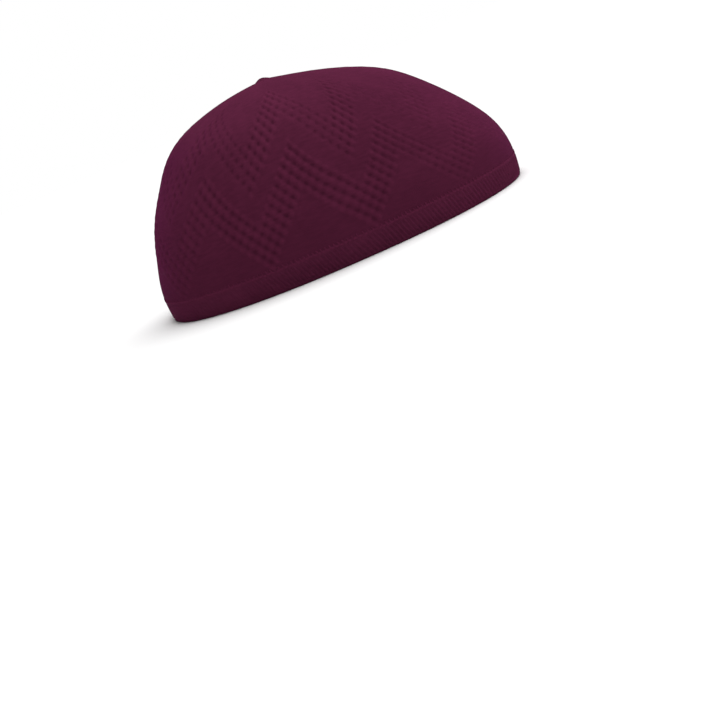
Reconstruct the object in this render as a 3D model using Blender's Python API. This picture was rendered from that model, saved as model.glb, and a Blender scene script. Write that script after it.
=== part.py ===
"""A close-fitting knitted skull cap, lying on its rim as it would on a table.

The cap is a hollow dome of fine knit, a hem turned double along its lower edge,
and the small knot that ties off the gathers at the top.
Metres, +Z up, +X towards the wearer's front, +Y towards the wearer's left.
The origin is the middle of the rim, on the plane that the rim lies on.
"""
from collections import namedtuple

import bpy
import numpy as np

MM = 0.001

# Driving dimensions
KNIT_WALL = 2.0 * MM
HEM_WALL = 3.0 * MM
HEM_HEIGHT = 12.0 * MM
HEM_EDGE_ROUND = 0.8 * MM
KNOT_RADIUS = 4.0 * MM
KNOT_HEIGHT = 2.2 * MM
GAP = 0.3 * MM
# A little wider where the crown meets the hem, because the wall's lower edge leans
HEM_GAP = 0.5 * MM

# The shape of each level seen from above: 2 is an ellipse, more is squarer
PLAN_POWER = 2.2

# The dome's levels from the rim up, in millimetres: how high each one is, where it
# ends at the back and at the front, and half its width from ear to ear
Level = namedtuple("Level", "height back front half_width")
DOME_LEVELS = [
    Level(0.0, -99.5, 99.0, 78.0),
    Level(14.0, -100.0, 100.0, 78.5),
    Level(30.5, -96.0, 96.0, 77.0),
    Level(48.0, -89.5, 84.0, 73.5),
    Level(63.0, -80.5, 70.0, 66.5),
    Level(77.0, -69.5, 53.0, 54.5),
    Level(86.5, -55.0, 31.5, 38.5),
    Level(92.0, -37.5, 12.0, 22.5),
    Level(94.5, -22.5, 0.5, 10.5),
    Level(95.5, -7.5, -7.5, 0.0),
]

# How finely the surfaces are divided
AROUND = 80
DOME_RINGS = 24
HEM_WALL_STEPS = 3
HEM_ROUND_STEPS = 2
KNOT_AROUND = 24
KNOT_RINGS = 8

# The knot's folds
KNOT_FOLDS = 6
KNOT_FOLD_DEPTH = 0.10
KNOT_WAIST = 0.80

WINE_RED = (0.088, 0.013, 0.037, 1.0)
WINE_RED_HEM = (0.080, 0.012, 0.034, 1.0)
WINE_RED_KNOT = (0.074, 0.011, 0.031, 1.0)
KNIT_ROUGHNESS = 0.9


def clear_scene():
    """Remove every object that is already in the file."""
    for old in list(bpy.data.objects):
        bpy.data.objects.remove(old, do_unlink=True)


def spline_through(knots, values):
    """Return the natural cubic spline through the values, as a function of the knots' parameter."""
    steps = np.diff(knots)
    slopes = np.diff(values, axis=0) / steps[:, None]
    count = len(knots)
    system = np.eye(count)
    bends = np.zeros_like(values)
    for row in range(1, count - 1):
        system[row, row - 1] = steps[row - 1]
        system[row, row] = 2.0 * (steps[row - 1] + steps[row])
        system[row, row + 1] = steps[row]
        bends[row] = 6.0 * (slopes[row] - slopes[row - 1])
    bends = np.linalg.solve(system, bends)

    def value_at(places):
        places = np.atleast_1d(places)
        left = np.clip(np.searchsorted(knots, places) - 1, 0, count - 2)
        step = steps[left][:, None]
        after = ((places - knots[left]) / steps[left])[:, None]
        before = 1.0 - after
        bent = (before**3 - before) * bends[left] + (after**3 - after) * bends[left + 1]
        return before * values[left] + after * values[left + 1] + bent * step**2 / 6.0

    return value_at


def dome_profile():
    """Return the dome's profile as a function of the distance up it, and the length of that profile.

    The profile gives the height, the middle, the half length and the half width of a level.
    The levels are repeated down the far side of the top, so the curve runs level over the top.
    """
    table = np.array(DOME_LEVELS) * MM
    height, back, front, half_width = table.T
    middle = (back + front) / 2.0
    half_length = (front - back) / 2.0
    steps = np.hypot(np.diff(height), np.diff(half_length))
    climbed = np.concatenate([[0.0], np.cumsum(steps)])
    length = climbed[-1]
    rising = np.column_stack([height, middle, half_length, half_width])
    falling = rising[-2::-1] * np.array([1.0, 1.0, -1.0, -1.0])
    knots = np.concatenate([climbed, 2.0 * length - climbed[-2::-1]])
    return spline_through(knots, np.vstack([rising, falling])), length


def level_ring(height, middle, half_length, half_width, inset=0.0):
    """Return the points of one level, going round from the front to the wearer's left."""
    turn = np.linspace(0.0, 2.0 * np.pi, AROUND, endpoint=False)
    along = np.sign(np.cos(turn)) * np.abs(np.cos(turn)) ** (2.0 / PLAN_POWER)
    across = np.sign(np.sin(turn)) * np.abs(np.sin(turn)) ** (2.0 / PLAN_POWER)
    x = middle + (half_length - inset) * along
    y = (half_width - inset) * across
    return np.column_stack([x, y, np.full(AROUND, height)])


def distance_up_to(profile, length, height):
    """Return how far up the profile a given height is reached."""
    places = np.linspace(0.0, length, 2001)
    return np.interp(height, profile(places)[:, 0], places)


def ring_faces(ring_count, around, first_to_last=False):
    """Return the quads between rings stored one after another, and back to the first ring if asked."""
    faces = []
    spans = ring_count if first_to_last else ring_count - 1
    for ring in range(spans):
        above = (ring + 1) % ring_count
        for place in range(around):
            ahead = (place + 1) % around
            faces.append((ring * around + place, ring * around + ahead,
                          above * around + ahead, above * around + place))
    return faces


def fan_faces(ring, around, pole, upward=True):
    """Return the triangles from a ring to a pole above it, or below it if not upward."""
    start = ring * around
    faces = [(start + place, start + (place + 1) % around, pole) for place in range(around)]
    return faces if upward else [face[::-1] for face in faces]


def add_object(name, points, faces, material):
    """Add a smooth-shaded mesh object with one material."""
    mesh = bpy.data.meshes.new(name)
    mesh.from_pydata([tuple(point) for point in points], [], faces)
    mesh.validate()
    mesh.shade_smooth()
    mesh.materials.append(material)
    added = bpy.data.objects.new(name, mesh)
    bpy.context.scene.collection.objects.link(added)
    return added


def cloth_material(name, colour):
    """Return a plain matt material for a knitted piece."""
    material = bpy.data.materials.new(name)
    material.use_nodes = True
    shader = material.node_tree.nodes["Principled BSDF"]
    shader.inputs["Base Color"].default_value = colour
    shader.inputs["Roughness"].default_value = KNIT_ROUGHNESS
    shader.inputs["Metallic"].default_value = 0.0
    return material


def build_crown(profile, length):
    """Loft the dome from just above the hem to the top, and give it the thickness of the knit."""
    start = distance_up_to(profile, length, HEM_HEIGHT + HEM_GAP)
    levels = profile(np.linspace(start, length, DOME_RINGS + 1))
    rings = [level_ring(*level) for level in levels[:-1]]
    top_height, top_middle = levels[-1][:2]
    points = np.vstack(rings + [[[top_middle, 0.0, top_height]]])
    faces = ring_faces(DOME_RINGS, AROUND)
    faces += fan_faces(DOME_RINGS - 1, AROUND, len(points) - 1)
    crown = add_object("crown", points, faces, cloth_material("crown_knit", WINE_RED))
    wall = crown.modifiers.new("knit_wall", "SOLIDIFY")
    wall.thickness = KNIT_WALL
    wall.offset = -1.0
    wall.use_even_offset = True
    return crown


def hem_section():
    """Return the hem's cross-section as insets from the outside and heights, up the outside first."""
    quarter = np.linspace(0.0, np.pi / 2.0, HEM_ROUND_STEPS + 1)
    edge = HEM_EDGE_ROUND
    inset = []
    height = []
    # The fold at the bottom turns up into the outer wall
    inset.extend(edge - edge * np.sin(quarter))
    height.extend(edge - edge * np.cos(quarter))
    # The outer wall, then across the top and down the inner wall
    climb = np.linspace(edge, HEM_HEIGHT, HEM_WALL_STEPS + 1)[1:]
    inset.extend(np.zeros(HEM_WALL_STEPS))
    height.extend(climb)
    inset.extend(np.full(HEM_WALL_STEPS, HEM_WALL))
    height.extend(climb[::-1])
    # The inner wall turns down into the fold
    inset.extend(HEM_WALL - edge + edge * np.cos(quarter))
    height.extend(edge - edge * np.sin(quarter))
    return inset, height


def build_rim_band(profile, length):
    """Sweep the hem's cross-section round the rim."""
    rings = []
    for inset, height in zip(*hem_section()):
        level = profile(distance_up_to(profile, length, height))[0]
        rings.append(level_ring(height, *level[1:], inset=inset))
    faces = ring_faces(len(rings), AROUND, first_to_last=True)
    return add_object("rim_band", np.vstack(rings), faces, cloth_material("hem_knit", WINE_RED_HEM))


def build_top_knot(profile, length):
    """Turn the small knot on the crown's top, pinched at its foot and folded where it is tied."""
    top_height, top_middle = profile(length)[0][:2]
    foot = top_height + GAP
    rise = np.linspace(0.0, 1.0, KNOT_RINGS + 1)[:-1]
    # A round button: straight near the foot, closing over in an arc at the top
    radius = KNOT_RADIUS * np.sqrt(1.0 - rise**3) * (KNOT_WAIST + (1.0 - KNOT_WAIST) * np.sin(np.pi * rise))
    turn = np.linspace(0.0, 2.0 * np.pi, KNOT_AROUND, endpoint=False)
    folded = 1.0 + KNOT_FOLD_DEPTH * np.cos(KNOT_FOLDS * turn)
    rings = []
    for reach, share in zip(radius, rise):
        x = top_middle + reach * folded * np.cos(turn)
        y = reach * folded * np.sin(turn)
        rings.append(np.column_stack([x, y, np.full(KNOT_AROUND, foot + share * KNOT_HEIGHT)]))
    poles = [[top_middle, 0.0, foot], [top_middle, 0.0, foot + KNOT_HEIGHT]]
    points = np.vstack(rings + [poles])
    faces = ring_faces(KNOT_RINGS, KNOT_AROUND)
    faces += fan_faces(0, KNOT_AROUND, len(points) - 2, upward=False)
    faces += fan_faces(KNOT_RINGS - 1, KNOT_AROUND, len(points) - 1)
    return add_object("top_knot", points, faces, cloth_material("knot_yarn", WINE_RED_KNOT))


def main():
    """Build the cap's three pieces."""
    clear_scene()
    profile, length = dome_profile()
    build_crown(profile, length)
    build_rim_band(profile, length)
    build_top_knot(profile, length)


main()
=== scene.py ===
"""The looks of a close-fitting knitted skull cap that lies on its rim.

The cap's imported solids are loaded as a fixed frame, and every piece here stands for one of
them or lies on it. Metres, +Z up, +X towards the wearer's front, +Y towards the wearer's left.
The knit is laid out on a chart of its own columns and rows, as a knitter would draw it, and
the chart is then wrapped round the dome.
"""
import logging
from abc import ABC, abstractmethod
from dataclasses import dataclass, field, replace
from enum import Enum
from typing import Callable, ClassVar, TypeVar, Union

import bpy
import numpy as np
from mathutils import Matrix, Vector


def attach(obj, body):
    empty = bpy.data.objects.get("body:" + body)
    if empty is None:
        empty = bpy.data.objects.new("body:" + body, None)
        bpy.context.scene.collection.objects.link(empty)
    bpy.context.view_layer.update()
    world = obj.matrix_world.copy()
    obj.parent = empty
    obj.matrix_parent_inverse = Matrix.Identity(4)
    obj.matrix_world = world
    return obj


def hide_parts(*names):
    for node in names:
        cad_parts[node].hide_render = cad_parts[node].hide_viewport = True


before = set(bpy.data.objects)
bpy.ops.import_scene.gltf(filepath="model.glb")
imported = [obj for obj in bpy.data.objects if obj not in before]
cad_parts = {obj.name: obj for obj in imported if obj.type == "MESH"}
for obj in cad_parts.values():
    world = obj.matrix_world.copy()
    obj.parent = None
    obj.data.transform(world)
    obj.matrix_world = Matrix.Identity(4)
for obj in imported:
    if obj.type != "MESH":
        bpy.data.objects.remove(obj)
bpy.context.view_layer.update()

LOG = logging.getLogger("skull_cap")
MM = 0.001
FULL_TURN = 2.0 * np.pi
UP = np.array([0.0, 0.0, 1.0])
BODY = "root"
CHART_MAP = "knit_chart"

Array = np.ndarray
Pair = tuple[float, float]
Colour = tuple[float, float, float]
Inputs = dict[Union[str, int], object]


def smooth_step(low: float, high: float, value: Array) -> Array:
    """Rise from 0 at low to 1 at high along a smooth S, 3t^2 - 2t^3; a high under low makes it fall."""
    share = np.clip((value - low) / (high - low), 0.0, 1.0)
    return share * share * (3.0 - 2.0 * share)


def unit(vectors: Array) -> Array:
    """Scale vectors, held in the last axis, to length 1."""
    return vectors / np.maximum(np.linalg.norm(vectors, axis=-1, keepdims=True), 1e-15)


def paired(first: Array, second: Array) -> Array:
    """Spread two arrays over each other and set them side by side in a last axis."""
    return np.stack(np.broadcast_arrays(first, second), axis=-1)


def spline_through(knots: Array, values: Array) -> Callable[[Array], Array]:
    """Make the natural cubic spline through rows of values.

    Args:
        knots: The rising parameter of each row.
        values: One row of numbers for each knot.

    Returns:
        A function of the parameter, which gives a row of numbers for each place.
    """
    steps = np.diff(knots)
    slopes = np.diff(values, axis=0) / steps[:, None]
    inner = np.arange(1, len(knots) - 1)
    system = np.eye(len(knots))
    system[inner, inner - 1] = steps[:-1]
    system[inner, inner] = 2.0 * (steps[:-1] + steps[1:])
    system[inner, inner + 1] = steps[1:]
    turning = np.zeros_like(values)
    turning[1:-1] = 6.0 * np.diff(slopes, axis=0)
    bends = np.linalg.solve(system, turning)

    def value_at(places: Array) -> Array:
        """Evaluate the spline, in each span two straight blends and two cubic ones.

        Args:
            places: The parameter at each place.

        Returns:
            The numbers there, in the last axis.
        """
        left = np.clip(np.searchsorted(knots, places) - 1, 0, len(knots) - 2)
        step = steps[left][..., None]
        after = (places - knots[left])[..., None] / step
        before = 1.0 - after
        bent = (before**3 - before) * bends[left] + (after**3 - after) * bends[left + 1]
        return before * values[left] + after * values[left + 1] + bent * step**2 / 6.0

    return value_at


class Numbers(np.ndarray):
    """An array with the operations of a shader's Value, so that one formula serves both."""

    def cosine(self) -> "Numbers":
        """Take the cosine of each number, in radians."""
        return np.cos(self)

    def sine(self) -> "Numbers":
        """Take the sine of each number, in radians."""
        return np.sin(self)

    def ping_pong(self, length: float) -> "Numbers":
        """Fold each number to and fro between 0 and length."""
        return np.abs(np.mod(self + length, 2.0 * length) - length)

    def wrap(self, low: float, high: float) -> "Numbers":
        """Bring each number into low to high by whole steps."""
        return np.mod(self - low, high - low) + low

    def smooth(self, low: float, high: float) -> "Numbers":
        """Rise smoothly from 0 at low to 1 at high, or fall where high is under low."""
        return smooth_step(low, high, self)


Quantity = TypeVar("Quantity", Numbers, "Value")


@dataclass(frozen=True)
class Level:
    """One level of the dome, in millimetres: its height, its two ends and its half width."""

    height: float
    back: float
    front: float
    half_width: float


@dataclass(frozen=True)
class Dome:
    """The cap's smooth form, a stack of level outlines that closes over the top."""

    levels: tuple[Level, ...] = (
        Level(0.0, -99.5, 99.0, 78.0),
        Level(14.0, -100.0, 100.0, 78.5),
        Level(30.5, -96.0, 96.0, 77.0),
        Level(48.0, -89.5, 84.0, 73.5),
        Level(63.0, -80.5, 70.0, 66.5),
        Level(77.0, -69.5, 53.0, 54.5),
        Level(86.5, -55.0, 31.5, 38.5),
        Level(92.0, -37.5, 12.0, 22.5),
        Level(94.5, -22.5, 0.5, 10.5),
        Level(95.5, -7.5, -7.5, 0.0),
    )
    plan_power: float = 2.2
    samples: int = 2001
    turn_probe: float = 0.001
    climb_probe: float = 0.02 * MM
    length: float = field(init=False)
    profile: Callable[[Array], Array] = field(init=False)

    def __post_init__(self) -> None:
        """Work out the profile, repeated down the far side so that it runs level over the top."""
        table = np.array([[v.height, v.back, v.front, v.half_width] for v in self.levels]) * MM
        height, back, front, half_width = table.T
        middle = (back + front) / 2.0
        half_length = (front - back) / 2.0
        steps = np.hypot(np.diff(height), np.diff(half_length))
        climbed = np.concatenate([[0.0], np.cumsum(steps)])
        length = float(climbed[-1])
        rising = np.column_stack([height, middle, half_length, half_width])
        falling = rising[-2::-1] * np.array([1.0, 1.0, -1.0, -1.0])
        knots = np.concatenate([climbed, 2.0 * length - climbed[-2::-1]])
        object.__setattr__(self, "length", length)
        object.__setattr__(self, "profile", spline_through(knots, np.vstack([rising, falling])))

    @property
    def summit(self) -> Array:
        """The point at the very top."""
        return self.surface(np.array(0.0), np.array(self.length))

    def climbed_at(self, height: Array) -> Array:
        """Give the distances up the profile at which heights are reached."""
        places = np.linspace(0.0, self.length, self.samples)
        return np.interp(height, self.profile(places)[:, 0], places)

    def surface(self, turn: Array, climbed: Array) -> Array:
        """Place points on the dome.

        Each level is the outline |x/a|^p + |y/b|^p = 1, walked by the angle turn.

        Args:
            turn: The way round, in radians, from the back over the wearer's right.
            climbed: The distance up the profile.

        Returns:
            The points, with x, y and z in the last axis.
        """
        turn, climbed = np.broadcast_arrays(turn, climbed)
        height, middle, half_length, half_width = np.moveaxis(self.profile(climbed), -1, 0)
        power = 2.0 / self.plan_power
        along = -np.sign(np.cos(turn)) * np.abs(np.cos(turn)) ** power
        across = -np.sign(np.sin(turn)) * np.abs(np.sin(turn)) ** power
        return np.stack([middle + half_length * along, half_width * across, height], axis=-1)

    def outward(self, turn: Array, climbed: Array) -> Array:
        """Give the normals, the cross product of small steps round and up the surface.

        Args:
            turn: The way round.
            climbed: The distance up the profile.

        Returns:
            The unit normals, in the last axis.
        """
        turn, climbed = np.broadcast_arrays(turn, climbed)
        aside, above = self.turn_probe, self.climb_probe
        around = self.surface(turn + aside, climbed) - self.surface(turn - aside, climbed)
        upward = self.surface(turn, climbed + above) - self.surface(turn, climbed - above)
        return unit(np.cross(around, upward))

    def directions(self, turn: Array, climbed: Array) -> tuple[Array, Array, Array]:
        """Give the three directions in which something lies on the surface.

        Args:
            turn: The way round.
            climbed: The distance up the profile.

        Returns:
            Outward, level along the surface, and up along it.
        """
        outward = self.outward(turn, climbed)
        level = unit(np.cross(UP, outward))
        return outward, level, np.cross(outward, level)


@dataclass(frozen=True)
class ChartSpan:
    """What a piece's UV map, which runs from 0 to 1, stands for in columns and rows.

    The lean is how many columns the knit slants by from the lowest row to the highest.
    """

    columns: float
    low_row: float
    high_row: float
    lean: float = 0.0

    def places(self, column: Array, row: Array) -> Array:
        """Scale columns and rows to 0 to 1, for the UV map."""
        return paired(column / self.columns, (row - self.low_row) / (self.high_row - self.low_row))


@dataclass(frozen=True)
class KnitChart:
    """Where the knit's columns and rows lie on the dome.

    Neighbouring dimples of a row are two columns apart, and those of a column two rows apart.
    Row 0 holds the lowest dimples and the last row the highest.
    """

    dome: Dome
    edge_height: float = 11.88 * MM
    columns: int = 180
    last_row: float = 23.0
    first_turn: float = np.radians(59.6)
    forward_lean: float = np.radians(17.7)
    winding: Pair = (np.radians(-16.8), np.radians(13.2))
    side_crowding: Pair = (np.radians(7.6), np.radians(-2.3))
    climb: tuple[float, float, float] = (15.5 * MM, 66.5 * MM, 26.5 * MM)
    back_lift: Pair = (0.6 * MM, 14.2 * MM)
    side_lift: Pair = (1.2 * MM, 5.7 * MM)
    edge_fade: float = 6.0 * MM
    top_fade: float = 45.0 * MM
    back_reach: Pair = (0.26, 0.77)
    front_reach: Pair = (0.50, 0.92)

    def _row_at(self, climbed: float) -> float:
        """Solve the plain climb, start + rise t + stretch t^2, for a row.

        Args:
            climbed: The distance up the profile.

        Returns:
            The row that lies there, before the lifts.
        """
        start, rise, stretch = self.climb
        root = np.sqrt(rise**2 - 4.0 * stretch * (start - climbed))
        return float((root - rise) / (2.0 * stretch) * self.last_row)

    @property
    def edge(self) -> float:
        """The distance up the profile at which the crown starts."""
        return float(self.dome.climbed_at(np.array(self.edge_height)))

    @property
    def span(self) -> ChartSpan:
        """The whole chart, from the crown's lower edge to the top, where the columns meet."""
        return ChartSpan(self.columns, self._row_at(self.edge), self._row_at(self.dome.length))

    def place(self, column: Array, row: Array) -> tuple[Array, Array]:
        """Lay points of the chart on the dome.

        The way round is the column's own angle a, plus a lean towards the front that grows with
        the share t of the rows as t sin a, a slight winding, and a crowding at the sides as
        sin 2a. The climb is a quadratic of t, raised at the back as cos a and at the sides as
        -cos 2a, both of which fade out at the edge and at the top.

        Args:
            column: The column, from 0 to columns once round.
            row: The row, from the span's low row to its high one.

        Returns:
            The way round, in radians, and the distance up the profile.
        """
        share = row / self.last_row
        angle = self.first_turn + FULL_TURN * column / self.columns
        crowding = self.side_crowding[0] + self.side_crowding[1] * share
        turn = (angle + self.forward_lean * share * np.sin(angle) + self.winding[0] * share
                + self.winding[1] * share**2 + crowding * np.sin(2.0 * angle))
        plain = self.climb[0] + self.climb[1] * share + self.climb[2] * share**2
        fade = (smooth_step(self.edge, self.edge + self.edge_fade, plain)
                * smooth_step(self.dome.length, self.dome.length - self.top_fade, plain))
        lift = ((self.back_lift[0] + self.back_lift[1] * share) * np.cos(angle)
                - (self.side_lift[0] + self.side_lift[1] * share) * np.cos(2.0 * angle))
        return turn, plain + fade * lift

    def to_ends(self, turn: Array, behind: float, before: float) -> Array:
        """Fade smoothly from 0 along the sides to one number behind and another in front.

        Args:
            turn: The way round.
            behind: The number at the back.
            before: The number at the front.

        Returns:
            The number for each place.
        """
        at_back = smooth_step(*self.back_reach, np.cos(turn))
        at_front = smooth_step(*self.front_reach, -np.cos(turn))
        return behind * at_back + before * at_front

    def around_edge(self, share: Array) -> Array:
        """Give the way round, in radians, of shares of the crown's lower edge."""
        return self.place(share * self.columns, np.array(self.span.low_row))[0]


@dataclass(frozen=True)
class ZigzagPattern:
    """The dimples, in tiers of zigzags three dimples deep, with slanting ribs between them.

    The two numbers of a rise, fall, edge or reach say where something starts and where it is
    whole, and those of the last fall are counted from the top. The losses are how much is lost
    at both ends, and in the upper tier's fainter legs.
    """

    columns: int = 180
    zigzag_columns: int = 18
    tier_rows: int = 10
    tiers: int = 2
    rows_below: float = 2.0
    tier_edge: float = 0.1
    first_rise: Pair = (-2.0, -1.6)
    last_fall: Pair = (-3.5, -4.5)
    pit_rise: Pair = (-1.1, -0.6)
    pit_fall: Pair = (5.1, 4.6)
    pit_edge: Pair = (0.25, 0.95)
    pit_depth: float = 0.40 * MM
    rib_rise: Pair = (-2.0, -1.3)
    rib_fall: Pair = (5.7, 4.6)
    rib_height: float = 0.66 * MM
    drawn_out: float = 0.6
    upper_drawn_out: float = 0.52
    upper_pits: float = 1.2
    upper_ribs: float = 0.62
    beading: float = 0.55
    upper_beading: float = 0.6
    front_column: float = 60.2
    front_reach: Pair = (0.087, 0.5)
    back_reach: Pair = (-0.62, -0.98)
    brow_reach: Pair = (0.76, 0.91)
    leg_edge: Pair = (0.3, -0.3)
    pit_losses: Pair = (0.32, 0.20)
    rib_losses: Pair = (0.62, 0.65)
    upper_front_loss: float = 0.3
    brow_loss: float = 0.75

    def shares(self, column: Quantity, row: Quantity) -> tuple[Quantity, Quantity]:
        """Work out how strongly the pits and the ribs show, for a mesh or a shader.

        A zigzag's lower edge climbs one row a column from each of its valleys to its peaks, and
        its band is five rows high. A pit sits where both cos(pi (c + r)) and cos(pi (c - r)) are
        near 1, which makes a brick pattern. The first counts for more, which draws each pit out
        along its slanting line. A rib stands as 1 - cos(pi (c + r)) over 2 between those lines,
        lower beside each pit, which makes it a row of beads.

        All of it is whole along the sides and weaker towards the front and the back, where the
        knit is stretched most: over the brow it nearly dies away. In the upper tier the legs
        that climb backwards are the fainter ones, and the front loses more.

        Args:
            column: The column.
            row: The row.

        Returns:
            The pits and the ribs, each 0 where there are none and about 1 where they are whole.
        """
        top = self.tiers * self.tier_rows
        above_first = row - column.ping_pong(self.zigzag_columns / 2.0)
        above_own = above_first.wrap(-self.rows_below, self.tier_rows - self.rows_below)
        tier_foot = self.tier_rows - self.rows_below
        upper = above_first.smooth(tier_foot - self.tier_edge, tier_foot + self.tier_edge)
        within = (above_first.smooth(*self.first_rise)
                  * above_first.smooth(top + self.last_fall[0], top + self.last_fall[1]))
        ahead = ((column - self.front_column) * (FULL_TURN / self.columns)).cosine()
        left = within * (1.0 - ahead.smooth(*self.brow_reach) * self.brow_loss)
        front = ahead.smooth(*self.front_reach)
        ends = front + ahead.smooth(*self.back_reach)
        leg = (column * (FULL_TURN / self.zigzag_columns)).sine().smooth(*self.leg_edge)
        lost = front * self.upper_front_loss
        for_pits, for_ribs = (
            (1.0 - ends * at_ends) * (1.0 - (leg * in_leg + lost) * upper) * left
            for at_ends, in_leg in (self.pit_losses, self.rib_losses))
        slanting = ((column + row) * np.pi).cosine()
        crossing = ((column - row) * np.pi).cosine()
        weight = upper * (self.upper_drawn_out - self.drawn_out) + self.drawn_out
        pit = (slanting * weight + crossing * (1.0 - weight)).smooth(*self.pit_edge)
        pit = pit * above_own.smooth(*self.pit_rise) * above_own.smooth(*self.pit_fall) * for_pits
        dip = upper * (self.upper_beading - self.beading) + self.beading
        bead = 1.0 - (crossing + 1.0) * dip * 0.5
        rib = (slanting * -0.5 + 0.5) * bead * for_ribs
        rib = rib * above_own.smooth(*self.rib_rise) * above_own.smooth(*self.rib_fall)
        return (pit * (1.0 - upper * (1.0 - self.upper_pits)),
                rib * (1.0 - upper * (1.0 - self.upper_ribs)))

    def relief(self, column: Array, row: Array) -> Array:
        """Give the height of the knit over the dome, the ribs' less the pits'."""
        pits, ribs = self.shares(column.view(Numbers), row.view(Numbers))
        return np.asarray(self.rib_height * ribs - self.pit_depth * pits)


def put_in_scene(name: str, data: bpy.types.ID) -> bpy.types.Object:
    """Make an object of a mesh, a camera or a light, and link it to the scene.

    Args:
        name: The object's name.
        data: What it is made of.

    Returns:
        The object, at the origin.
    """
    made = bpy.data.objects.new(name, data)
    bpy.context.scene.collection.objects.link(made)
    return made


class MeshMaker:
    """Gathers grids of points and joins them into one mesh."""

    def __init__(self) -> None:
        """Start with no points and no faces."""
        self._points: list[Array] = []
        self._corners: list[Array] = []
        self._chart: list[Array] = []
        self._slots: list[Array] = []
        self._count = 0

    @staticmethod
    def _grid(spans: int, around: int) -> tuple[Array, Array]:
        """List the ring and the place of each face's four corners.

        Args:
            spans: How many faces there are from the first ring to the last.
            around: How many faces go once round.

        Returns:
            The rings and the places, where a place of around means the first one again.
        """
        ring, place = np.meshgrid(np.arange(spans), np.arange(around), indexing="ij")
        rings = ring.ravel()[:, None] + np.array([0, 0, 1, 1])
        return rings, place.ravel()[:, None] + np.array([0, 1, 1, 0])

    def _add_faces(self, corners: Array, chart: Array, slot: int = 0, outward: bool = True) -> None:
        """Add faces of one kind.

        Args:
            corners: The numbers of each face's points.
            chart: The chart's place of each corner.
            slot: The material slot.
            outward: Whether the corners run the way that faces outward already.
        """
        way = 1 if outward else -1
        self._corners.append(corners[:, ::way])
        self._chart.append(chart[:, ::way])
        self._slots.append(np.full(len(corners), slot))

    def add_points(self, points: Array) -> int:
        """Add points.

        Args:
            points: The points, with x, y and z in the last axis.

        Returns:
            The number of the first one.
        """
        first = self._count
        flat = points.reshape(-1, 3)
        self._points.append(flat)
        self._count += len(flat)
        return first

    def add_rings(self, points: Array, chart: Array, slot: int = 0, outward: bool = True,
                  closed_up: bool = False) -> int:
        """Add a grid of rings that closes round on itself.

        Args:
            points: The points, ring by ring, without the one that would repeat the first.
            chart: The chart's place of each point, with one more a ring that closes it.
            slot: The material slot.
            outward: Whether round times up points to the side that is seen.
            closed_up: Whether the last ring joins the first one too.

        Returns:
            The number of the first point.
        """
        rings, around = points.shape[:2]
        first = self.add_points(points)
        ring, place = self._grid(rings if closed_up else rings - 1, around)
        corners = first + (ring % rings) * around + place % around
        self._add_faces(corners, chart[ring, place], slot, outward)
        return first

    def add_pole(self, first: int, point: Array, ring_chart: Array, pole_up: float,
                 slot: int = 0, outward: bool = True) -> None:
        """Close a ring over a single point.

        Args:
            first: The number of the ring's first point.
            point: The pole.
            ring_chart: The chart's places of the ring, with one more that closes it.
            pole_up: The chart's second place of the pole.
            slot: The material slot.
            outward: Whether the pole lies past the ring as it goes up.
        """
        pole = self.add_points(point[None, :])
        around = len(ring_chart) - 1
        place = np.arange(around)
        poles = np.full(around, pole)
        corners = np.stack([first + place, first + (place + 1) % around, poles], axis=1)
        middle = (ring_chart[:-1] + ring_chart[1:]) / 2.0
        middle[:, 1] = pole_up
        where = np.stack([ring_chart[:-1], ring_chart[1:], middle], axis=1)
        self._add_faces(corners, where, slot, outward)

    def add_strip(self, fine: int, coarse: int, fine_chart: Array, coarse_around: int) -> None:
        """Join a fine ring to a coarse one inside it, several fine spans to each coarse one.

        Args:
            fine: The number of the fine ring's first point.
            coarse: The number of the coarse ring's first point.
            fine_chart: The chart's place of each fine point, with one more that closes the ring.
            coarse_around: How many points the coarse ring has.
        """
        fine_around = len(fine_chart) - 1
        each = fine_around // coarse_around
        step = np.arange(coarse_around)[:, None]
        fine_place = step * each + np.arange(each, -1, -1)
        coarse_place = step + np.array([0, 1])
        corners = np.hstack([fine + fine_place % fine_around, coarse + coarse_place % coarse_around])
        where = np.concatenate([fine_chart[fine_place], fine_chart[coarse_place * each]], axis=1)
        self._add_faces(corners, where)

    def add_beads(self, rings: Array, tips: Array, ring_chart: Array) -> None:
        """Add many small closed beads at once.

        Args:
            rings: The points of each bead's rings, by bead, ring and place round it.
            tips: The two end points of each bead, by bead.
            ring_chart: The chart's places of one bead's rings, with one more a ring.
        """
        beads, count, around = rings.shape[:3]
        points = np.concatenate([rings.reshape(beads, -1, 3), tips], axis=1)
        base = self.add_points(points) + np.arange(beads)[:, None, None] * points.shape[1]
        ring, place = self._grid(count - 1, around)
        step = np.arange(around)
        after = (step + 1) % around
        low_tip, high_tip = count * around, count * around + 1
        high = (count - 1) * around
        starts = np.stack([after, step, np.full(around, low_tip)], axis=1)
        ends = np.stack([high + step, high + after, np.full(around, high_tip)], axis=1)
        kinds = ((ring * around + place % around, ring_chart[ring, place]),
                 (starts, np.repeat(ring_chart[0][:-1, None], 3, axis=1)),
                 (ends, np.repeat(ring_chart[-1][:-1, None], 3, axis=1)))
        for corners, where in kinds:
            joined = (base + corners[None]).reshape(-1, corners.shape[1])
            self._add_faces(joined, np.tile(where, (beads, 1, 1)))

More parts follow.
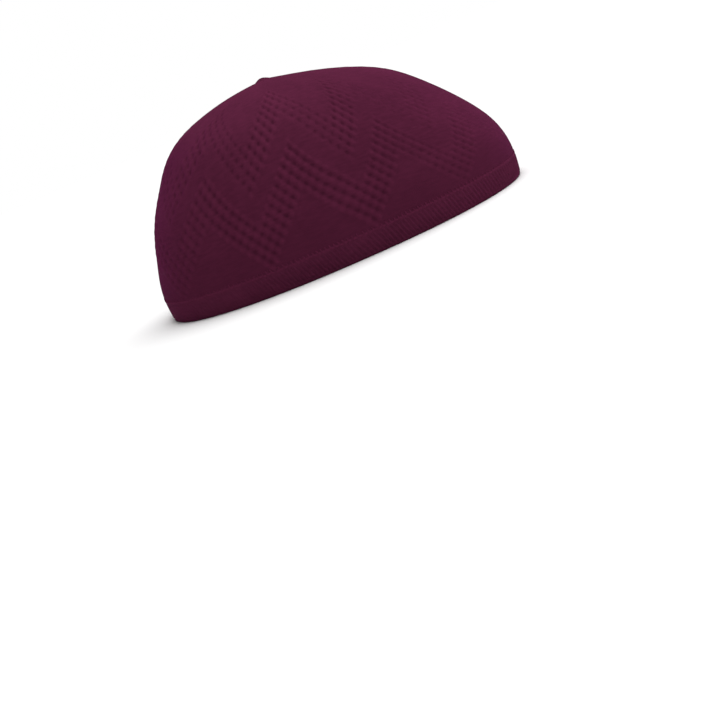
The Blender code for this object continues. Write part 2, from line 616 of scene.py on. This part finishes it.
    def finish(self, name: str, materials: list[bpy.types.Material]) -> bpy.types.Object:
        """Make the mesh and its object.

        Args:
            name: The piece's name.
            materials: One material for each slot.

        Returns:
            The object, at the origin, smooth shaded, with its chart as a UV map.
        """
        points = np.vstack(self._points)
        sizes = np.concatenate([np.full(len(c), c.shape[1]) for c in self._corners])
        mesh = bpy.data.meshes.new(name)
        mesh.vertices.add(len(points))
        mesh.vertices.foreach_set("co", points.ravel())
        mesh.loops.add(int(sizes.sum()))
        mesh.loops.foreach_set("vertex_index", np.concatenate([c.ravel() for c in self._corners]))
        mesh.polygons.add(len(sizes))
        mesh.polygons.foreach_set("loop_start", np.concatenate([[0], np.cumsum(sizes)[:-1]]))
        mesh.polygons.foreach_set("material_index", np.concatenate(self._slots))
        mesh.update(calc_edges=True)
        chart = mesh.uv_layers.new(name=CHART_MAP)
        chart.uv.foreach_set("vector", np.concatenate([c.ravel() for c in self._chart]))
        mesh.shade_smooth()
        for material in materials:
            mesh.materials.append(material)
        return put_in_scene(name, mesh)


def opaque(colour: object) -> object:
    """Give a colour its fourth number, and leave a socket as it is."""
    return (*colour, 1.0) if isinstance(colour, tuple) else colour


Number = Union[float, "Value"]


class Value:
    """A number that a shader works out for each point of a surface."""

    def __init__(self, tree: "ShaderTree", socket: bpy.types.NodeSocket) -> None:
        """Wrap the socket that gives the number."""
        self.tree = tree
        self.socket = socket

    def _math(self, operation: str, *numbers: Number) -> "Value":
        """Add a Math node on the given numbers."""
        node = self.tree.node("ShaderNodeMath", {"operation": operation}, dict(enumerate(numbers)))
        return Value(self.tree, node.outputs[0])

    def __add__(self, other: Number) -> "Value":
        """Add self and other, either way round."""
        return self._math("ADD", self, other)

    def __sub__(self, other: Number) -> "Value":
        """Take other from self."""
        return self._math("SUBTRACT", self, other)

    def __rsub__(self, other: Number) -> "Value":
        """Take self from other."""
        return self._math("SUBTRACT", other, self)

    def __mul__(self, other: Number) -> "Value":
        """Multiply self and other, either way round."""
        return self._math("MULTIPLY", self, other)

    __radd__ = __add__
    __rmul__ = __mul__

    def absolute(self) -> "Value":
        """Drop the number's sign."""
        return self._math("ABSOLUTE", self)

    def cosine(self) -> "Value":
        """Take the cosine of the number, in radians."""
        return self._math("COSINE", self)

    def sine(self) -> "Value":
        """Take the sine of the number, in radians."""
        return self._math("SINE", self)

    def wave(self) -> "Value":
        """Rise from 0 at each whole number to 1 halfway to the next, as (1 - cos 2 pi x) / 2."""
        return (self * FULL_TURN).cosine() * -0.5 + 0.5

    def fraction(self) -> "Value":
        """Keep what is left of the number past its whole part."""
        return self._math("FRACT", self)

    def ping_pong(self, length: float) -> "Value":
        """Fold the number to and fro between 0 and length."""
        return self._math("PINGPONG", self, length)

    def wrap(self, low: float, high: float) -> "Value":
        """Bring the number into low to high by whole steps."""
        return self._math("WRAP", self, high, low)

    def smooth(self, low: float, high: float) -> "Value":
        """Rise smoothly from 0 at low to 1 at high, or fall where high is under low.

        Args:
            low: Where the rise starts.
            high: Where it ends.

        Returns:
            A number from 0 to 1.
        """
        falls = float(high < low)
        inputs: Inputs = {"Value": self, "From Min": min(low, high), "From Max": max(low, high),
                          "To Min": falls, "To Max": 1.0 - falls}
        node = self.tree.node("ShaderNodeMapRange", {"interpolation_type": "SMOOTHSTEP"}, inputs)
        return Value(self.tree, node.outputs["Result"])


@dataclass(frozen=True)
class Unevenness:
    """A noise over the knit: its spots once round, a spot's rows, its detail and its share."""

    spots: float
    rows: float
    detail: float
    share: float


class ShaderTree:
    """The nodes of a material or a world, built up from expressions."""

    def __init__(self, owner: Union[bpy.types.Material, bpy.types.World]) -> None:
        """Empty the owner's nodes.

        Args:
            owner: The material or the world.
        """
        owner.use_nodes = True
        self._tree = owner.node_tree
        self._tree.nodes.clear()

    def node(self, kind: str, settings: dict[str, object], inputs: Inputs) -> bpy.types.Node:
        """Add a node.

        Args:
            kind: The node's type.
            settings: Its own settings, which are set first.
            inputs: What each socket gets, by its name or its number: a link or a value.

        Returns:
            The node.
        """
        made = self._tree.nodes.new(kind)
        for name, setting in settings.items():
            setattr(made, name, setting)
        for name, given in inputs.items():
            source = given.socket if isinstance(given, Value) else given
            if isinstance(source, bpy.types.NodeSocket):
                self._tree.links.new(source, made.inputs[name])
            else:
                made.inputs[name].default_value = source
        return made

    def map_places(self) -> tuple[Value, Value]:
        """Read the piece's UV map.

        Returns:
            Its two places, each from 0 to 1.
        """
        place = self.node("ShaderNodeUVMap", {"uv_map": CHART_MAP}, {})
        parts = self.node("ShaderNodeSeparateXYZ", {}, {0: place.outputs["UV"]})
        return Value(self, parts.outputs["X"]), Value(self, parts.outputs["Y"])

    def ring_noise(self, share: Value, row: Value, kind: Unevenness) -> Value:
        """Add a noise that meets itself where the piece closes round.

        It is a noise in space, read on a cylinder: (cos a, sin a) times a radius, and the row.

        Args:
            share: The way round, from 0 to 1.
            row: The row.
            kind: How large its spots are.

        Returns:
            The noise.
        """
        radius = kind.spots / FULL_TURN
        angle = share * FULL_TURN
        inputs: Inputs = {"X": angle.cosine() * radius, "Y": angle.sine() * radius,
                          "Z": row * (1.0 / kind.rows)}
        place = self.node("ShaderNodeCombineXYZ", {}, inputs).outputs[0]
        inputs = {"Vector": place, "Scale": 1.0, "Detail": kind.detail}
        return Value(self, self.node("ShaderNodeTexNoise", {}, inputs).outputs["Fac"])

    def blend(self, share: Number, start: object, end: object) -> bpy.types.NodeSocket:
        """Mix two colours, from start at 0 to end at 1."""
        inputs: Inputs = {0: share, 6: opaque(start), 7: opaque(end)}
        return self.node("ShaderNodeMix", {"data_type": "RGBA"}, inputs).outputs[2]

    def bump(self, height: Value, depth: float) -> bpy.types.NodeSocket:
        """Turn a height from 0 to 1 into a normal, depth metres high."""
        inputs: Inputs = {"Strength": 1.0, "Distance": depth, "Height": height}
        return self.node("ShaderNodeBump", {}, inputs).outputs["Normal"]

    def surface(self, inputs: Inputs) -> None:
        """Finish a material with a Principled shader."""
        shader = self.node("ShaderNodeBsdfPrincipled", {}, inputs)
        self.node("ShaderNodeOutputMaterial", {}, {"Surface": shader.outputs[0]})


@dataclass(frozen=True)
class WineYarn:
    """The yarn of the whole cap: its colours, with a painted shade colour and a painted highlight colour,
    and how it takes the light.
    """

    shade: Colour = (0.087, 0.0137, 0.0370)
    light: Colour = (0.126, 0.0196, 0.0535)
    # Painted shade colour for the dimples and for the grooves between plies.
    hollow_painted_shade: Colour = (0.030, 0.0050, 0.0120)
    # Painted highlight colour for the tops of the ribs between the dimples.
    raised: Colour = (0.200, 0.0300, 0.0830)
    smoothest: float = 0.86
    rougher_on_top: float = 0.08
    specular: float = 0.01
    sheen: float = 0.10
    sheen_roughness: float = 0.35
    sheen_tint: Colour = (0.50, 0.0, 0.35)

    def dress(self, tree: ShaderTree, colour: bpy.types.NodeSocket, relief: Value,
              depth: float) -> None:
        """Finish a material of this yarn.

        Args:
            tree: The material's nodes.
            colour: The colour all over the surface.
            relief: The height of the stitches, from 0 to 1, which also roughens their tops.
            depth: How high that relief is, in metres.
        """
        tree.surface({
            "Base Color": colour,
            "Roughness": relief * self.rougher_on_top + self.smoothest,
            "Specular IOR Level": self.specular,
            "Sheen Weight": self.sheen,
            "Sheen Roughness": self.sheen_roughness,
            "Sheen Tint": opaque(self.sheen_tint),
            "Normal": tree.bump(relief, depth),
        })


class KnitSide(Enum):
    """Which side of the knit is seen: the smooth face of V stitches, or the bumpy purl side."""

    FACE = "face"
    PURL = "purl"


@dataclass(frozen=True)
class KnitFinish:
    """Fine knit, with its stitches, faint streaks along the courses, painted shade in the dimples and
    between the stitches, and painted highlights on the ribs.
    """

    name: str
    side: KnitSide
    span: ChartSpan
    yarn: WineYarn
    pattern: ZigzagPattern | None = None
    wales_per_column: float = 3.0
    courses_per_row: float = 4.0
    closer_up: float = 0.0
    v_slant: float = 1.1
    loop_depth: float = 0.6
    bump_fall: float = 0.5
    stitch_depth: float = 0.09 * MM
    evened_rows: Pair | None = None
    evened: float = 0.75
    evened_height: float = 0.4
    # Painted shade in the dimples.
    pit_shade: float = 0.16
    # Painted highlight on the ribs.
    rib_painted_highlight: float = 0.22
    # Painted shade: the rows towards the hem are painted darker.
    painted_shade_rows: Pair | None = None
    painted_shade_amount: float = 0.45
    # Painted shade between the stitches: their lower parts take the darker tone.
    stitch_painted_shade_share: float = 0.3
    streaks: Unevenness = Unevenness(spots=90.0, rows=0.35, detail=2.0, share=0.4)
    mottle: Unevenness = Unevenness(spots=26.0, rows=5.0, detail=3.0, share=0.3)
    noise_reach: Pair = (0.2, 0.8)

    def _stitches(self, column: Value, row: Value) -> Value:
        """Work out the stitches' height.

        A V stitch is two legs, high at a quarter and three quarters of the wale, cut off course
        by course along lines that rise from the middle to both sides. A purl bump is a round
        ridge across the wale, high in its middle. The courses' number grows with the row r as
        r (courses + closer r), and where the wales run together at the top the relief is evened
        out.

        Args:
            column: The column.
            row: The row.

        Returns:
            The height, from 0 to 1.
        """
        wale = (column * self.wales_per_column).fraction() - 0.5
        course = row * (row * self.closer_up + self.courses_per_row)
        if self.side is KnitSide.FACE:
            legs = (wale * 2.0).wave()
            loops = (course - wale.absolute() * self.v_slant).wave()
            height = legs * (loops * self.loop_depth + (1.0 - self.loop_depth))
        else:
            height = course.wave() * (1.0 - wale.wave() * self.bump_fall)
        if self.evened_rows is None:
            return height
        share = row.smooth(*self.evened_rows) * self.evened
        return height * (1.0 - share) + share * self.evened_height

    def material(self) -> bpy.types.Material:
        """Make the material.

        The light share of the yarn is part streaks, part mottle and part the stitches' own
        height, which paints shade between the stitches, and it is cut towards the hem as painted
        shade. The ribs then get a painted highlight and the dimples painted shade.

        Returns:
            A material whose colour, roughness and normal follow the knit's chart.
        """
        made = bpy.data.materials.new(self.name)
        tree = ShaderTree(made)
        across, up = tree.map_places()
        column = across * self.span.columns + up * self.span.lean
        row = up * (self.span.high_row - self.span.low_row) + self.span.low_row
        stitches = self._stitches(column, row)
        # The stitches' height paints shade between them.
        light = stitches * self.stitch_painted_shade_share
        for kind in (self.streaks, self.mottle):
            noise = tree.ring_noise(across, row, kind)
            light = light + noise.smooth(*self.noise_reach) * kind.share
        # Painted shade, darker towards the hem.
        if self.painted_shade_rows is not None:
            light = light * (1.0 - row.smooth(*self.painted_shade_rows) * self.painted_shade_amount)
        colour = tree.blend(light, self.yarn.shade, self.yarn.light)
        if self.pattern is not None:
            pits, ribs = self.pattern.shares(column, row)
            # Painted highlight on the ribs.
            colour = tree.blend(ribs * self.rib_painted_highlight, colour, self.yarn.raised)
            # Painted shade in the dimples.
            colour = tree.blend(pits * self.pit_shade, colour, self.yarn.hollow_painted_shade)
        self.yarn.dress(tree, colour, stitches, self.stitch_depth)
        return made


@dataclass(frozen=True)
class PliedFinish:
    """Thicker yarn, with its plies twisted round each other and finer fibres on them.

    The UV map runs along the yarn in its first place and round it in its second.
    """

    name: str
    yarn: WineYarn
    plies: float
    twists: float
    ply_depth: float
    groove_shade: float
    fibre_twists: float = 4.0
    fibre_plies: float = 5.0
    # Painted light on the ply and fibre ridges.
    ply_painted_light: float = 0.6
    fibre_painted_light: float = 0.3
    ply_height: float = 0.8
    fibre_height: float = 0.2

    def material(self) -> bpy.types.Material:
        """Make the material, whose ply ridges run at a slant along and round the yarn, with painted light on
        the ridges and painted shade in the grooves.

        Returns:
            The material.
        """
        made = bpy.data.materials.new(self.name)
        tree = ShaderTree(made)
        along, about = tree.map_places()
        ply = (along * self.twists + about * self.plies).wave()
        fibres = (along * (self.twists * self.fibre_twists)
                  + about * (self.plies * self.fibre_plies)).wave()
        # Painted light on the ridges, then painted shade in the grooves between plies.
        light = ply * self.ply_painted_light + fibres * self.fibre_painted_light
        colour = tree.blend(light, self.yarn.shade, self.yarn.light)
        colour = tree.blend((1.0 - ply) * self.groove_shade, colour, self.yarn.hollow_painted_shade)
        height = ply * self.ply_height + fibres * self.fibre_height
        self.yarn.dress(tree, colour, height, self.ply_depth)
        return made


class SubAssembly(ABC):
    """A part of the cap, which builds its mesh, dresses it and takes its place in the frame."""

    name: ClassVar[str]
    slot: ClassVar[str]
    nodes: ClassVar[tuple[str, ...]] = ()

    @abstractmethod
    def shape(self) -> MeshMaker:
        """Work out the piece's points and faces."""

    @abstractmethod
    def finishes(self) -> list[bpy.types.Material]:
        """Make the piece's materials, one for each slot."""

    def build(self) -> bpy.types.Object:
        """Build the piece, put it in place of the solids that it stands for, and report it.

        Returns:
            The piece.
        """
        piece = self.shape().finish(self.name, self.finishes())
        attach(piece, BODY)
        if self.nodes:
            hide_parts(*self.nodes)
        mesh = piece.data
        triangles = len(mesh.loops) - 2 * len(mesh.polygons)
        LOG.info("%s: %d points, %d triangles", piece.name, len(mesh.vertices), triangles)
        return piece


@dataclass(frozen=True)
class Crown(SubAssembly):
    """The hollow dome of fine knit, from just above the hem to the knot at the top."""

    name: ClassVar[str] = "crown_knit"
    slot: ClassVar[str] = "crown_knit"
    nodes: ClassVar[tuple[str, ...]] = ("crown",)

    dome: Dome
    chart: KnitChart
    pattern: ZigzagPattern
    yarn: WineYarn
    wall: float = 1.9 * MM
    points_per_column: int = 4
    points_per_row: int = 5
    edge_rows: float = 0.04
    rows_past_pattern: Pair = (0.8, 0.6)
    plain_rows: int = 8
    inside_rings: int = 24
    inside_around: int = 120
    gathers: int = 20
    gather_depth: float = 0.15 * MM
    gather_reach: float = 8.0 * MM
    gather_fade: float = 1.4
    # Painted shade in the dimples, on the inside.
    purl_pit_shade: float = 0.15

    def _rows(self) -> Array:
        """Choose the grid's rows: close together over the dimples and wider above them.

        Returns:
            The rows, in a column. The second lies close over the first, so that the shading
            doesn't roll over the edge.
        """
        below, above = self.rows_past_pattern
        fine = np.arange(-below, self.chart.last_row + above, 1.0 / self.points_per_row)
        span = self.chart.span
        wide = np.linspace(fine[-1], span.high_row, self.plain_rows + 2)[1:-1]
        edge = [span.low_row, span.low_row + self.edge_rows]
        return np.concatenate([edge, fine, wide])[:, None]

    def _gathering(self, turn: Array, climbed: Array) -> Array:
        """Give the small radial folds at the knot, waves that die away with the distance."""
        away = (self.dome.length - climbed) / self.gather_reach
        return self.gather_depth * np.cos(self.gathers * turn) * away * np.exp(1.0 - self.gather_fade * away)

    def shape(self) -> MeshMaker:
        """Work out one closed shell.

        The outside is the dome pushed out along its normals by the knit's relief, and the inside
        is the dome drawn in by the wall, on a coarser grid.

        Returns:
            The shell, its outside in the first slot and its inside in the second.
        """
        maker = MeshMaker()
        span = self.chart.span
        around = self.chart.columns * self.points_per_column
        column = np.arange(around + 1)[None, :] / self.points_per_column
        row = self._rows()
        turn, climbed = self.chart.place(column[:, :-1], row)
        raised = self.pattern.relief(column[:, :-1], row) + self._gathering(turn, climbed)
        points = self.dome.surface(turn, climbed) + self.dome.outward(turn, climbed) * raised[..., None]
        places = span.places(column, row)
        outer = maker.add_rings(points, places)
        maker.add_pole(outer + (len(row) - 1) * around, self.dome.summit, places[-1], 1.0)

        column = column[:, ::around // self.inside_around]
        row = np.linspace(span.low_row, span.high_row, self.inside_rings + 1)[:-1, None]
        turn, climbed = self.chart.place(column[:, :-1], row)
        inward = self.dome.outward(turn, climbed)
        inward[0, :, 2] = 0.0
        points = self.dome.surface(turn, climbed) - inward * self.wall
        inner_places = span.places(column, row)
        inner = maker.add_rings(points, inner_places, slot=1, outward=False)
        last = inner + (self.inside_rings - 1) * self.inside_around
        below = self.dome.summit - UP * self.wall
        maker.add_pole(last, below, inner_places[-1], 1.0, slot=1, outward=False)
        maker.add_strip(outer, inner, places[0], self.inside_around)
        return maker

    def finishes(self) -> list[bpy.types.Material]:
        """Dress the outside in the knit's face and the inside in its purl side.

        Returns:
            The two materials.
        """
        # The face knit is painted darker towards the hem, as painted shade.
        face = KnitFinish("crown_face_knit", KnitSide.FACE, self.chart.span, self.yarn, self.pattern,
                          closer_up=0.067, evened_rows=(16.0, 28.0), painted_shade_rows=(6.0, 1.0),
                          noise_reach=(0.28, 0.72))
        purl = replace(face, name="crown_purl_knit", side=KnitSide.PURL, pit_shade=self.purl_pit_shade)
        return [face.material(), purl.material()]


@dataclass(frozen=True)
class Hem(SubAssembly):
    """The knit turned double along the lower edge, ribbed on the slant."""

    name: ClassVar[str] = "hem_knit"
    slot: ClassVar[str] = "hem_knit"
    nodes: ClassVar[tuple[str, ...]] = ("rim_band",)

    dome: Dome
    chart: KnitChart
    yarn: WineYarn
    height: float = 12.0 * MM
    wall: float = 3.0 * MM
    fold_round: float = 0.8 * MM
    edge_round: float = 0.2 * MM
    ribs: int = 230
    points_per_rib: int = 7
    rib_depth: float = 0.33 * MM
    rib_losses: Pair = (0.7, 0.1)
    rib_slant: float = 2.3
    rib_low: Pair = (0.8 * MM, 2.2 * MM)
    rib_high: Pair = (10.9 * MM, 9.8 * MM)
    ridge_height: float = 11.2 * MM
    ridge_depth: float = 0.15 * MM
    ridge_width: float = 0.55 * MM
    wall_points: int = 20
    round_points: int = 5
    course: float = 0.75 * MM
    # Both hem tones are painted lighter than the crown's yarn: painted light against the shade on the hem.
    hem_painted_light_dark_tone: Colour = (0.094, 0.0152, 0.0405)
    hem_painted_light_pale_tone: Colour = (0.136, 0.0223, 0.0590)

    def _section(self) -> tuple[Array, Array]:
        """Draw the cross-section, a rectangle with round corners.

        It starts under the outside wall, climbs it, and comes back down the inside.

        Returns:
            How far in from the dome each point lies, and its height.
        """
        bend = np.linspace(0.0, np.pi / 2.0, self.round_points)
        early, late = 1.0 - np.cos(bend), 1.0 - np.sin(bend)
        fold, edge, wall, top = self.fold_round, self.edge_round, self.wall, self.height
        climb = np.linspace(fold, top - edge, self.wall_points + 2)[1:-1]
        inset = [fold * late, 0.0 * climb, edge * early, wall - edge * late, wall - edge * early]
        height = [fold * early, climb, top - edge * late, top - edge * early, edge * late]
        return np.concatenate(inset), np.concatenate(height)

    def _walked(self) -> Array:
        """Give the distance walked round the cross-section at each of its points."""
        inset, height = self._section()
        return np.concatenate([[0.0], np.cumsum(np.hypot(np.diff(inset), np.diff(height)))])

    def shape(self) -> MeshMaker:
        """Work out one closed ring.

        The cross-section is carried round the dome's own outline. The outside wall is pushed out
        by a cosine of the ribs' number round plus the slant's share of the height, and along its
        upper edge by a bell-shaped ridge.

        Returns:
            The ring.
        """
        maker = MeshMaker()
        inset, height = (part[:, None] for part in self._section())
        around = self.ribs * self.points_per_rib
        share = np.arange(around + 1)[None, :] / around
        turn = self.chart.around_edge(share[:, :-1])
        climbed = self.dome.climbed_at(height)
        outward = self.dome.outward(turn, climbed)
        outward[..., 2] = 0.0
        wave = np.cos(FULL_TURN * (self.ribs * share[:, :-1] + self.rib_slant * height / self.height))
        ribbed = smooth_step(*self.rib_low, height) * smooth_step(*self.rib_high, height)
        ribbed = ribbed * (1.0 - self.chart.to_ends(turn, *self.rib_losses))
        ridge = np.exp(-((height - self.ridge_height) / self.ridge_width) ** 2)
        raised = (inset < self.edge_round) * (self.rib_depth * ribbed * wave + self.ridge_depth * ridge)
        points = self.dome.surface(turn, climbed) + unit(outward) * (raised - inset)[..., None]
        points[..., 2] = height
        walked = self._walked()
        up = np.append(walked / walked[-1], 1.0)[:, None]
        maker.add_rings(points, paired(share, up), closed_up=True)
        return maker

    def finishes(self) -> list[bpy.types.Material]:
        """Dress the hem in knit whose wales follow the ribs, painted a little lighter than the crown as
        painted light against the hem's shade.

        Returns:
            The one material.
        """
        # The hem's yarn is painted lighter, as painted light.
        painted_light_yarn = replace(self.yarn, shade=self.hem_painted_light_dark_tone, light=self.hem_painted_light_pale_tone)
        around_section = float(self._walked()[-1])
        span = ChartSpan(self.ribs, 0.0, around_section / self.course,
                         lean=self.rib_slant * around_section / self.height)
        finish = KnitFinish("hem_face_knit", KnitSide.FACE, span, painted_light_yarn, wales_per_column=2.0,
                            courses_per_row=1.0, streaks=replace(KnitFinish.streaks, rows=1.5),
                            mottle=replace(KnitFinish.mottle, rows=12.0))
        return [finish.material()]


@dataclass(frozen=True)
class HemStitches(SubAssembly):
    """The thread along the hem's upper edge, with short upright stitches over the seam."""

    name: ClassVar[str] = "hem_stitches"
    slot: ClassVar[str] = "hem_knit"

    dome: Dome
    chart: KnitChart
    yarn: WineYarn
    stitches: int = 230
    height: float = 12.1 * MM
    length: float = 2.2 * MM
    thickness: float = 0.85 * MM
    slant: float = np.radians(68.0)
    unevenness: float = 0.08
    uneven_spacing: float = 0.15
    shrinking: Pair = (0.4, 0.4)
    seed: int = 11
    rings: int = 7
    around: int = 8
    thread_height: float = 11.25 * MM
    thread_radius: float = 0.40 * MM
    thread_sink: float = 0.14 * MM
    thread_waves: float = 0.13 * MM
    # Painted highlight: the seam's yarn is painted lighter than the knit.
    thread_painted_highlight: Colour = (0.132, 0.0208, 0.0560)
    points_per_stitch: int = 6

    def _add_thread(self, maker: MeshMaker) -> None:
        """Add the running thread, a ring of round section that rises and falls at each stitch.

        Args:
            maker: The mesh that it joins.
        """
        along = self.stitches * self.points_per_stitch
        share = np.arange(along + 1)[:, None] / along
        about = np.linspace(0.0, FULL_TURN, self.around + 1)[None, :]
        turn = self.chart.around_edge(share[:-1])
        climbed = self.dome.climbed_at(np.array(self.thread_height))
        outward, _, upward = self.dome.directions(turn, climbed)
        rise = self.thread_waves * np.cos(FULL_TURN * self.stitches * share[:-1])
        centre = self.dome.surface(turn, climbed) - self.thread_sink * outward + rise[..., None] * upward
        over, under = np.cos(about[:, :-1])[..., None], np.sin(about[:, :-1])[..., None]
        points = centre + self.thread_radius * (outward * over - upward * under)
        maker.add_rings(points, paired(share * self.stitches, about / FULL_TURN), closed_up=True)

    def shape(self) -> MeshMaker:
        """Work out all the stitches at once, as slim beads that lean the way the ribs do.

        Each is an ellipsoid: its point at l along it and a round it lies at half the length
        times -cos l, and half the thickness times sin l away from its axis. They grow smaller
        towards the front and the back.

        Returns:
            The stitches and the thread.
        """
        maker = MeshMaker()
        chance = np.random.default_rng(self.seed)
        varied = 1.0 + self.unevenness * chance.uniform(-1.0, 1.0, (3, self.stitches))
        share = (np.arange(self.stitches) + self.uneven_spacing * (varied[0] - 1.0)) / self.stitches
        turn = self.chart.around_edge(share)
        climbed = self.dome.climbed_at(np.full(self.stitches, self.height))
        centre = self.dome.surface(turn, climbed)
        outward, level, upward = self.dome.directions(turn, climbed)
        lean = (self.slant * varied[1])[:, None]
        along = np.sin(lean) * upward - np.cos(lean) * level
        beside = np.cross(outward, along)
        reach = np.linspace(0.0, np.pi, self.rings + 2)[1:-1]
        about = np.linspace(0.0, FULL_TURN, self.around, endpoint=False)[:, None]
        size = 1.0 - self.chart.to_ends(turn, *self.shrinking)
        half = (self.length * varied[2] * size / 2.0)[:, None]
        spine = centre[:, None, :] - (half * np.cos(reach))[..., None] * along[:, None, :]
        girth = beside[:, None, :] * np.cos(about) + outward[:, None, :] * np.sin(about)
        swell = size[:, None] * np.sin(reach)[None, :] * self.thickness / 2.0
        points = spine[:, :, None, :] + swell[:, :, None, None] * girth[:, None, :, :]
        tips = np.stack([centre - half * along, centre + half * along], axis=1)
        places = paired((reach / np.pi)[:, None], np.linspace(0.0, 1.0, self.around + 1))
        maker.add_beads(points, tips, places)
        self._add_thread(maker)
        return maker

    def finishes(self) -> list[bpy.types.Material]:
        """Dress the stitches in plied yarn painted lighter than the knit, a painted highlight along the
        seam.
        """
        # The seam's yarn takes the knit's light tone and a lighter one, a painted highlight.
        thread = replace(self.yarn, shade=self.yarn.light, light=self.thread_painted_highlight)
        return [PliedFinish("stitch_yarn", thread, plies=2.0, twists=1.0, ply_depth=0.04 * MM,
                            groove_shade=0.1).material()]


@dataclass(frozen=True)
class TopKnot(SubAssembly):
    """The small lump of drawn-up knit at the top, steep behind and sloping away in front."""

    name: ClassVar[str] = "knot_knit"
    slot: ClassVar[str] = "knot_yarn"
    nodes: ClassVar[tuple[str, ...]] = ("top_knot",)

    dome: Dome
    yarn: WineYarn
    radius: float = 5.8 * MM
    height: float = 1.35 * MM
    sink: float = 0.35 * MM
    set_back: float = 0.3 * MM
    folds: int = 12
    fold_depth: float = 0.12 * MM
    twist: float = 0.2
    rings: int = 24
    around: int = 108

    def shape(self) -> MeshMaker:
        """Work out the knot.

        In from its edge t runs from 0 to 1. The radius falls evenly. The height over the dome,
        which the knot follows all round, rises as a smooth S of t, and the centre moves back as
        it rises. The folds are waves round it that are deepest halfway up and twist as they
        rise. Underneath it closes over a point, well inside the crown's wall.

        Returns:
            The knot.
        """
        maker = MeshMaker()
        top = self.dome.summit
        inward = np.linspace(0.0, 1.0, self.rings + 1)[:-1, None]
        share = np.linspace(0.0, 1.0, self.around + 1)[None, :]
        about = FULL_TURN * share
        rise = smooth_step(0.0, 1.0, inward)
        wave = np.cos(self.folds * about + self.twist * FULL_TURN * inward)
        reach = self.radius * (1.0 - inward)
        foot = self.dome.surface(about + np.pi, self.dome.length - reach)[..., 2] - self.sink
        full = self.height + self.sink
        height = foot + full * rise + self.fold_depth * wave * 4.0 * inward * (1.0 - inward)
        points = np.stack([top[0] - self.set_back * rise + reach * np.cos(about),
                           reach * np.sin(about), height], axis=-1)
        places = paired(inward, share)
        first = maker.add_rings(points[:, :-1], places)
        summit = np.array([top[0] - self.set_back, 0.0, top[2] + self.height])
        maker.add_pole(first + (self.rings - 1) * self.around, summit, places[-1], 1.0)
        below = np.array([top[0], 0.0, top[2] - 2.0 * self.sink])
        maker.add_pole(first, below, places[0], 0.0, outward=False)
        return maker

    def finishes(self) -> list[bpy.types.Material]:
        """Dress the knot in drawn-up yarn, whose strands run from its edge to its top."""
        return [PliedFinish("knot_yarn", self.yarn, plies=18.0, twists=0.7, ply_depth=0.05 * MM,
                            groove_shade=0.12).material()]


@dataclass(frozen=True)
class Studio:
    """The camera, the pale floor and the soft light from above."""

    aim: tuple[float, float, float] = (-18.0 * MM, 0.0, -61.0 * MM)
    distance: float = 732.0 * MM
    azimuth: float = np.radians(-4.0)
    elevation: float = np.radians(12.3)
    roll: float = np.radians(-23.2)
    lens: float = 67.5
    sensor: float = 36.0
    floor_radius: float = 6.0
    floor_around: int = 64
    floor_colour: Colour = (0.93, 0.93, 0.93)
    ambient: float = 0.10
    seen_white: float = 1.0
    key_strength: float = 3.40
    key_lean: Pair = (0.25, 0.12)
    key_spread: float = np.radians(60.0)

    def place_camera(self) -> None:
        """Set the camera back from the aim point, turned about it and rolled to the picture's tilt."""
        data = bpy.data.cameras.new("picture_camera")
        data.lens = self.lens
        data.sensor_width = self.sensor
        camera = put_in_scene("picture_camera", data)
        turned = Matrix.Rotation(self.azimuth, 4, "Z")
        tilted = turned @ Matrix.Rotation(np.pi / 2.0 - self.elevation, 4, "X")
        rolled = tilted @ Matrix.Rotation(self.roll, 4, "Z")
        back = Matrix.Translation((0.0, 0.0, self.distance))
        camera.matrix_world = Matrix.Translation(self.aim) @ rolled @ back
        bpy.context.scene.camera = camera

    def lay_floor(self) -> None:
        """Lay a wide pale floor under the rim."""
        angle = np.linspace(0.0, FULL_TURN, self.floor_around, endpoint=False)
        edge = np.column_stack([np.cos(angle), np.sin(angle), 0.0 * angle]) * self.floor_radius
        mesh = bpy.data.meshes.new("floor")
        mesh.from_pydata(edge.tolist(), [], [list(range(self.floor_around))])
        material = bpy.data.materials.new("pale_floor")
        ShaderTree(material).surface({"Base Color": opaque(self.floor_colour), "Roughness": 1.0,
                                      "Specular IOR Level": 0.0})
        mesh.materials.append(material)
        put_in_scene("floor", mesh)

    def light(self) -> None:
        """Hang one wide soft light overhead, and a dim world that the camera sees as white."""
        data = bpy.data.lights.new("overhead_softbox", "SUN")
        data.energy = self.key_strength
        data.angle = self.key_spread
        lamp = put_in_scene("overhead_softbox", data)
        lamp.rotation_mode = "QUATERNION"
        lamp.rotation_quaternion = Vector((*self.key_lean, 1.0)).to_track_quat("Z", "Y")
        world = bpy.data.worlds.new("studio")
        bpy.context.scene.world = world
        tree = ShaderTree(world)
        white = opaque((1.0, 1.0, 1.0))
        dim, seen = (tree.node("ShaderNodeBackground", {}, {"Color": white, "Strength": strength})
                     for strength in (self.ambient, self.seen_white))
        ray = tree.node("ShaderNodeLightPath", {}, {})
        inputs: Inputs = {0: ray.outputs["Is Camera Ray"], 1: dim.outputs[0], 2: seen.outputs[0]}
        mixed = tree.node("ShaderNodeMixShader", {}, inputs)
        tree.node("ShaderNodeOutputWorld", {}, {"Surface": mixed.outputs[0]})
        bpy.context.scene.view_settings.view_transform = "Standard"

    def build(self) -> None:
        """Set up the camera, the floor and the light."""
        self.place_camera()
        self.lay_floor()
        self.light()


def main() -> None:
    """Build the cap's pieces in order, then the studio."""
    logging.basicConfig(level=logging.INFO, format="%(name)s %(message)s")
    dome = Dome()
    chart = KnitChart(dome)
    yarn = WineYarn()
    Crown(dome, chart, ZigzagPattern(), yarn).build()
    Hem(dome, chart, yarn).build()
    HemStitches(dome, chart, yarn).build()
    TopKnot(dome, yarn).build()
    Studio().build()


if __name__ == "__main__":
    main()
